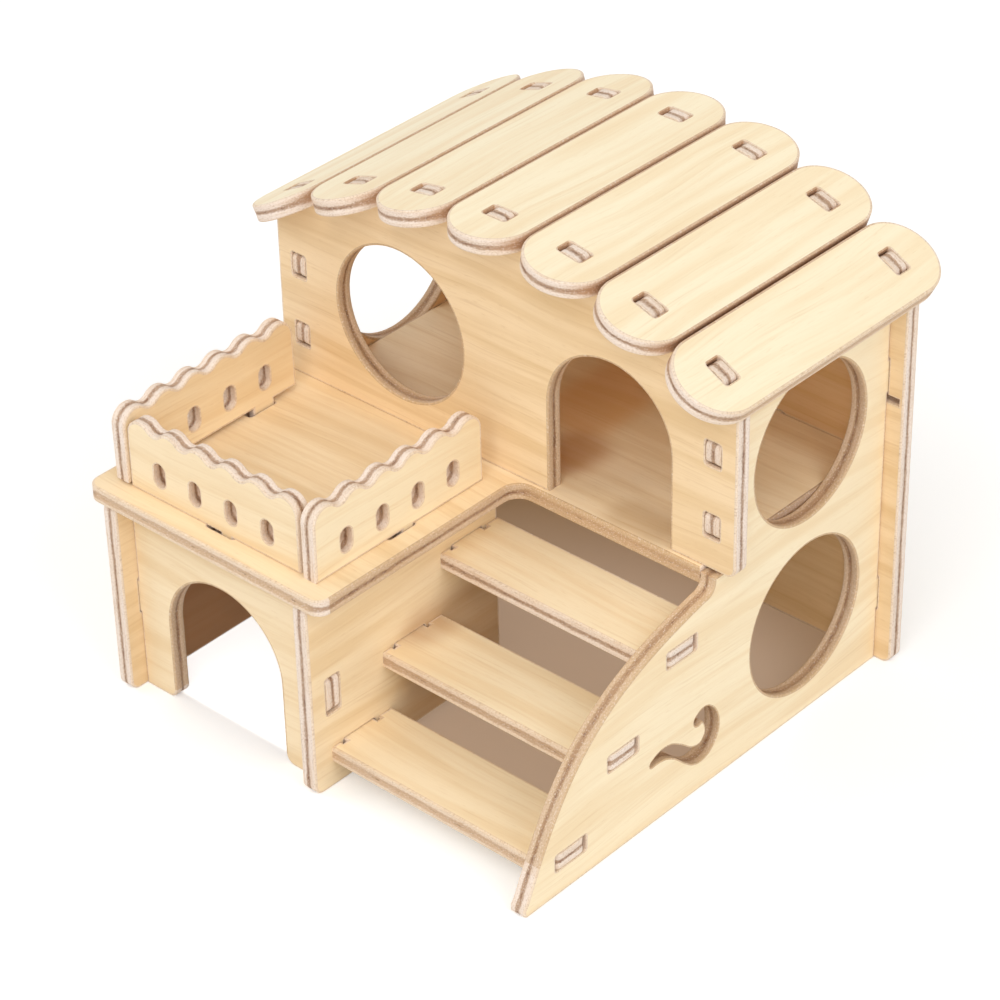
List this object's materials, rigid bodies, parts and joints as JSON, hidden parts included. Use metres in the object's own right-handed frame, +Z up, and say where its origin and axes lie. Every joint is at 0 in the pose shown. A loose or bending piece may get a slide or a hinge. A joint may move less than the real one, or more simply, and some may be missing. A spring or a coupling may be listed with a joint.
{
  "type": "hamster house",
  "caption": "Two-storey plywood hamster house with a fenced balcony, open stairs, round windows, arched doors and an arched roof of round-ended slats.",
  "frame": {"origin": "centre of the bounding box, on the floor the house stands on", "axes": "+Z up, -Y towards the front with the balcony and stairs, +X to the right seen from the front"},
  "size_m": [0.1724, 0.1674, 0.1465],
  "materials": {
    "plywood": "matte"
  },
  "bodies": {
    "root": {"front_wall": "plywood", "back_wall": "plywood", "left_side_panel": "plywood", "right_side_panel": "plywood", "deck": "plywood", "lower_front_wall": "plywood", "stair_wall": "plywood", "tread_1": "plywood", "tread_2": "plywood", "tread_3": "plywood", "left_fence": "plywood", "front_fence": "plywood", "right_fence": "plywood", "slat_1": "plywood", "slat_2": "plywood", "slat_3": "plywood", "slat_4": "plywood", "slat_5": "plywood", "slat_6": "plywood", "slat_7": "plywood"}
  },
  "joints": []
}
